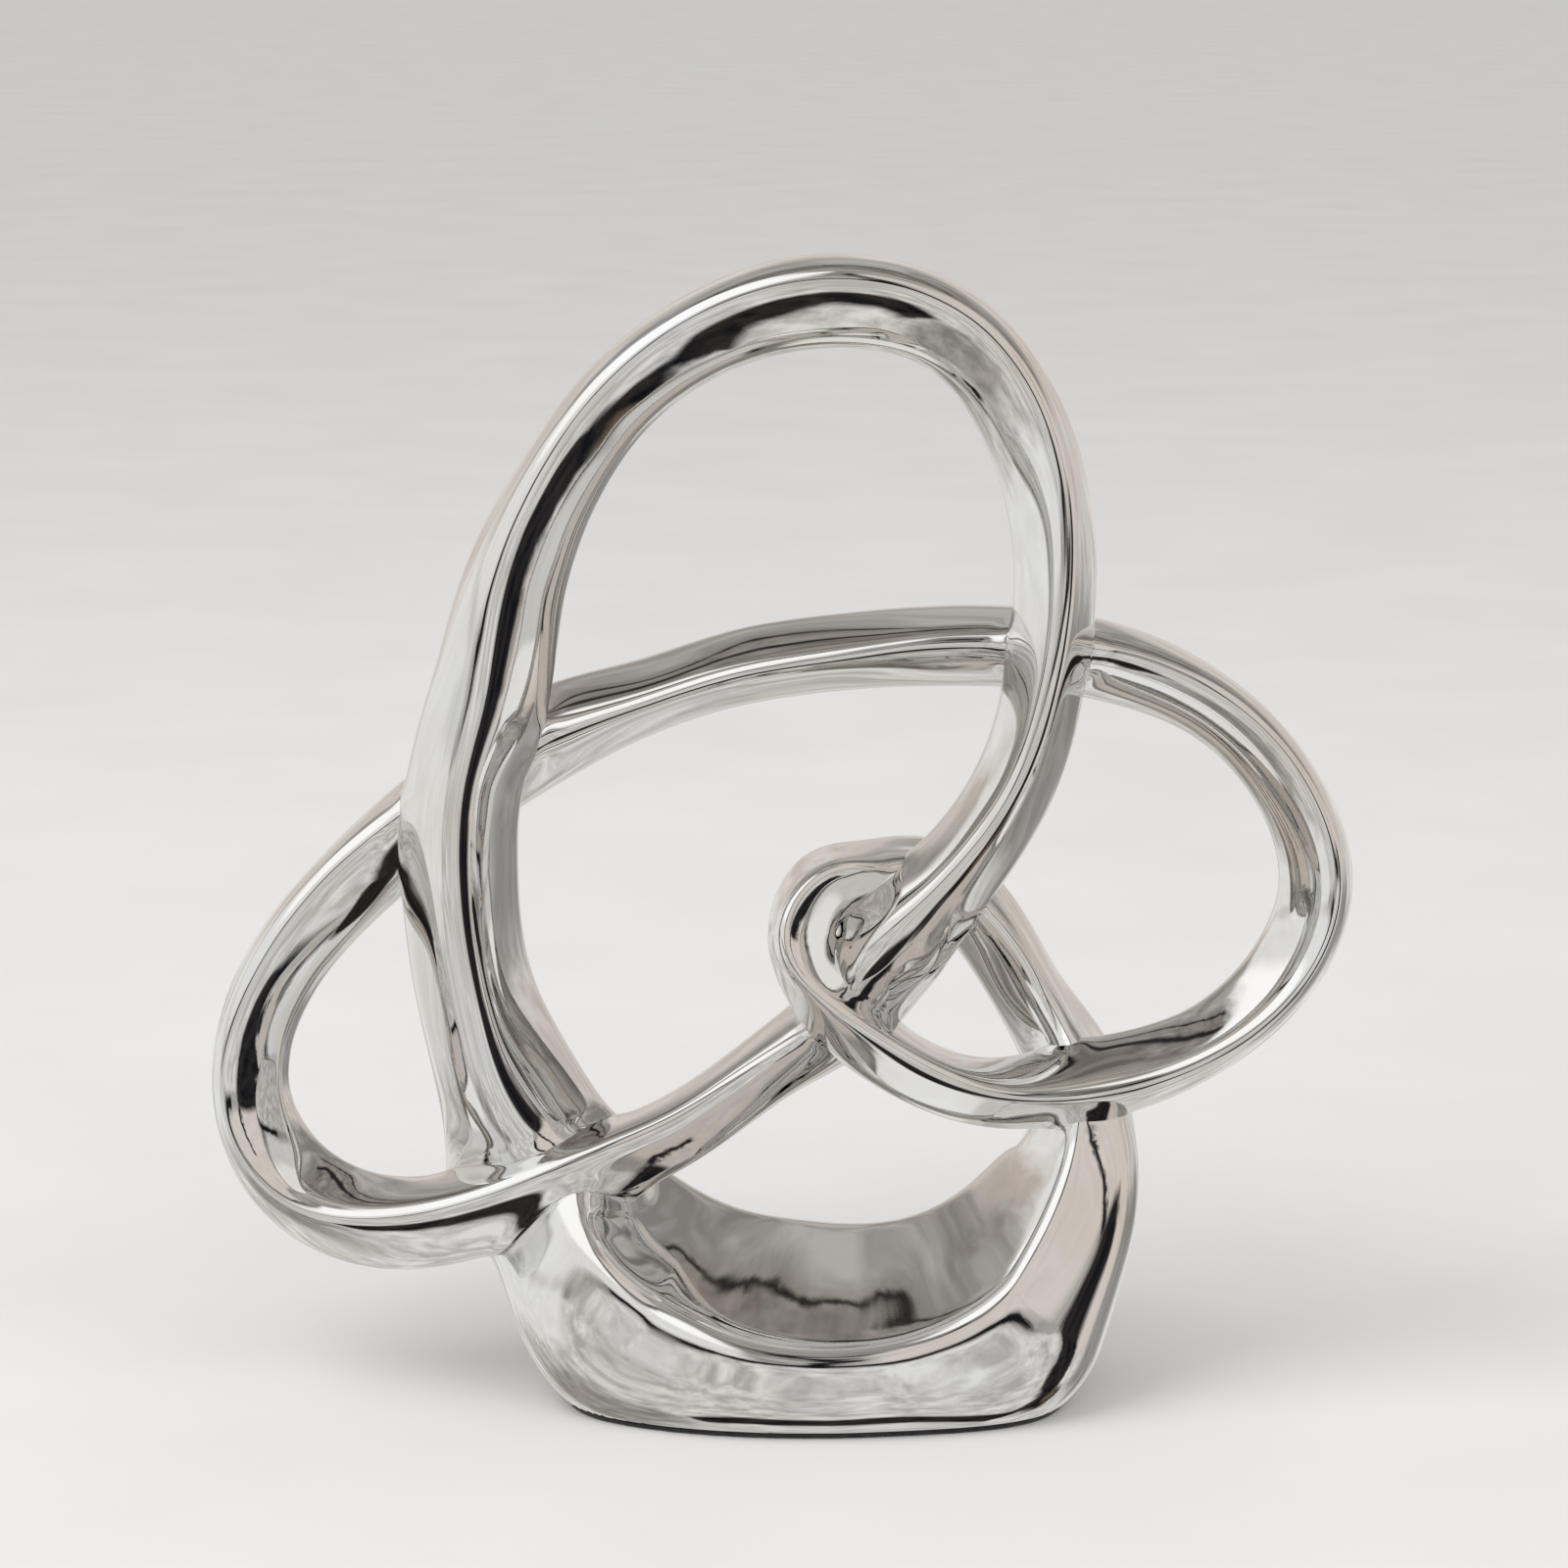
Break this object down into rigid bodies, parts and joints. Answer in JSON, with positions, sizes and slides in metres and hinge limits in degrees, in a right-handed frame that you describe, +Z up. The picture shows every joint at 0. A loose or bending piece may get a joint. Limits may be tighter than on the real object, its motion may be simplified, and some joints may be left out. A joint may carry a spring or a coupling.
{
  "type": "metal knot sculpture",
  "caption": "Table sculpture: one polished chrome strand loops over and under itself in an open knot and widens into a curved foot with a felt pad.",
  "frame": {"origin": "middle of the overall box, at the floor that the felt pad stands on", "axes": "+Z up; the knot's front, where the strand's ridge shows, faces -Y; +X is to the right seen from the front"},
  "size_m": [0.3071, 0.0921, 0.307],
  "materials": {
    "chrome_plate": "polished mirror plate on cast aluminium",
    "plate_steel": "plain zinc plate",
    "screw_steel": "plain zinc plate",
    "dowel_steel": "ground",
    "pad_felt": "dark felt"
  },
  "bodies": {
    "root": {"tall_loop": "chrome_plate", "left_loop": "chrome_plate", "cross_bar": "chrome_plate", "right_loop": "chrome_plate", "short_strut": "chrome_plate", "base_body": "chrome_plate", "base_plate": "plate_steel", "plate_screws": "screw_steel", "joint_dowels": "dowel_steel", "felt_pad": "pad_felt"}
  },
  "joints": []
}
